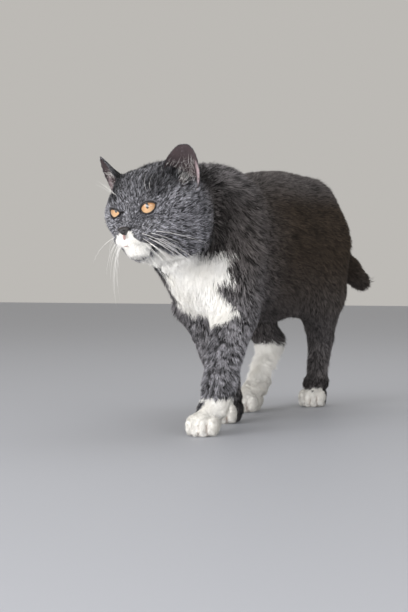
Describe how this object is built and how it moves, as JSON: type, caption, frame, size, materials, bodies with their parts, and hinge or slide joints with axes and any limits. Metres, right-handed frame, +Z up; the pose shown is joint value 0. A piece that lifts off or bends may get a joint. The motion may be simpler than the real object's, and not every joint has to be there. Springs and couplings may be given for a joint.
{
  "type": "cat",
  "caption": "Stout short-haired grey and white cat, walking with its head turned a little to its right; a still model with no joints.",
  "frame": {"origin": "on the floor, under the middle of the whole cat, nose to tail tip and side to side", "axes": "+Z up; the nose points towards -Y and the tail towards +Y, the longest way; the cat's own left is +X"},
  "size_m": [0.1826, 0.6688, 0.3213],
  "materials": {
    "blue_coat": "dense short blue-grey fur, matt",
    "white_coat": "dense short white fur, matt",
    "eye": "wet clear cornea over an amber iris",
    "nose_leather": "bare dark grey skin, slightly moist"
  },
  "bodies": {
    "root": {"head": "blue_coat", "neck": "blue_coat", "trunk": "blue_coat", "ear_left": "blue_coat", "ear_right": "blue_coat", "foreleg_left": "blue_coat", "foreleg_right": "blue_coat", "hindleg_left": "blue_coat", "hindleg_right": "blue_coat", "tail_base": "blue_coat", "tail_tip": "blue_coat", "forepaw_left": "white_coat", "forepaw_right": "white_coat", "hindpaw_left": "white_coat", "hindpaw_right": "white_coat", "eye_left": "eye", "eye_right": "eye", "nose": "nose_leather"}
  },
  "joints": []
}
